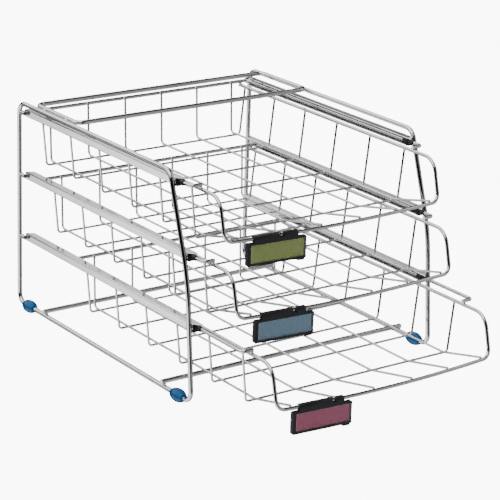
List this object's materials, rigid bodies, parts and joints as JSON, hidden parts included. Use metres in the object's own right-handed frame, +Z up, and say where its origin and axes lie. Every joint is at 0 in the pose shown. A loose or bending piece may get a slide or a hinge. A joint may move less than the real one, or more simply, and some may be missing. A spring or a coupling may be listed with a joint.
{
  "type": "letter tray stack",
  "caption": "Desk stack of pull-out wire drawers for papers, on bent-rod side frames with channel rails, bead feet and swivelling label holders.",
  "frame": {"origin": "on the standing surface, under the middle of the object's bounding box with the drawers as drawn", "axes": "+Z up, +X to the right seen from the front, -Y to the front, where the drawers pull out"},
  "size_m": [0.3054, 0.4497, 0.2291],
  "materials": {
    "chrome_wire": "bright chrome-plated steel wire",
    "chrome_sheet": "bright chrome-plated sheet steel",
    "black_plastic": "satin black moulded plastic",
    "blue_plastic": "satin blue moulded plastic",
    "clear_plastic": "clear moulded plastic",
    "green_card": "plain olive green card",
    "blue_card": "plain blue-grey card",
    "red_card": "plain purplish red card"
  },
  "bodies": {
    "frame": {"front_floor_bar": "chrome_wire", "left_bottom_channel": "chrome_sheet", "left_bottom_end_cap": "black_plastic", "left_channel_stubs": "chrome_wire", "left_front_foot": "blue_plastic", "left_middle_channel": "chrome_sheet", "left_middle_end_cap": "black_plastic", "left_rear_foot": "blue_plastic", "left_side_frame": "chrome_wire", "left_top_channel": "chrome_sheet", "left_top_end_cap": "black_plastic", "rear_floor_bar": "chrome_wire", "right_bottom_channel": "chrome_sheet", "right_bottom_end_cap": "black_plastic", "right_channel_stubs": "chrome_wire", "right_front_foot": "blue_plastic", "right_middle_channel": "chrome_sheet", "right_middle_end_cap": "black_plastic", "right_rear_foot": "blue_plastic", "right_side_frame": "chrome_wire", "right_top_channel": "chrome_sheet", "right_top_end_cap": "black_plastic"},
    "bottom_drawer": {"bottom_cross_wires": "chrome_wire", "bottom_floor_wires": "chrome_wire", "bottom_left_glide": "black_plastic", "bottom_right_glide": "black_plastic", "bottom_rim": "chrome_wire", "bottom_runner": "chrome_wire"},
    "bottom_label": {"bottom_label_card": "red_card", "bottom_label_holder": "black_plastic", "bottom_label_window": "clear_plastic"},
    "middle_drawer": {"middle_cross_wires": "chrome_wire", "middle_floor_wires": "chrome_wire", "middle_left_glide": "black_plastic", "middle_right_glide": "black_plastic", "middle_rim": "chrome_wire", "middle_runner": "chrome_wire"},
    "middle_label": {"middle_label_card": "blue_card", "middle_label_holder": "black_plastic", "middle_label_window": "clear_plastic"},
    "top_drawer": {"top_cross_wires": "chrome_wire", "top_floor_wires": "chrome_wire", "top_left_glide": "black_plastic", "top_right_glide": "black_plastic", "top_rim": "chrome_wire", "top_runner": "chrome_wire", "top_spreader": "chrome_wire"},
    "top_label": {"top_label_card": "green_card", "top_label_holder": "black_plastic", "top_label_window": "clear_plastic"}
  },
  "joints": [
    {"name": "bottom_drawer_slide", "type": "slide", "parent": "frame", "child": "bottom_drawer", "axis": [0, -1, 0], "range_m": [-0.0624, 0.2143]},
    {"name": "bottom_label_swivel", "type": "hinge", "parent": "bottom_drawer", "child": "bottom_label", "pos_m": [-0.08218, -0.21907, 0.03453], "axis": [-0.9966, 0.0821, 0], "range_deg": [0, 60]},
    {"name": "middle_drawer_slide", "type": "slide", "parent": "frame", "child": "middle_drawer", "axis": [0, -1, 0], "range_m": [-0.0082, 0.2686]},
    {"name": "middle_label_swivel", "type": "hinge", "parent": "middle_drawer", "child": "middle_label", "pos_m": [-0.08048, -0.1537, 0.10173], "axis": [-0.9968, 0.0804, 0], "range_deg": [0, 60]},
    {"name": "top_drawer_slide", "type": "slide", "parent": "frame", "child": "top_drawer", "axis": [0, -1, 0], "range_m": [-0.0072, 0.2695]},
    {"name": "top_label_swivel", "type": "hinge", "parent": "top_drawer", "child": "top_label", "pos_m": [-0.07498, -0.13043, 0.16893], "axis": [-0.9972, 0.075, 0], "range_deg": [0, 60]}
  ]
}
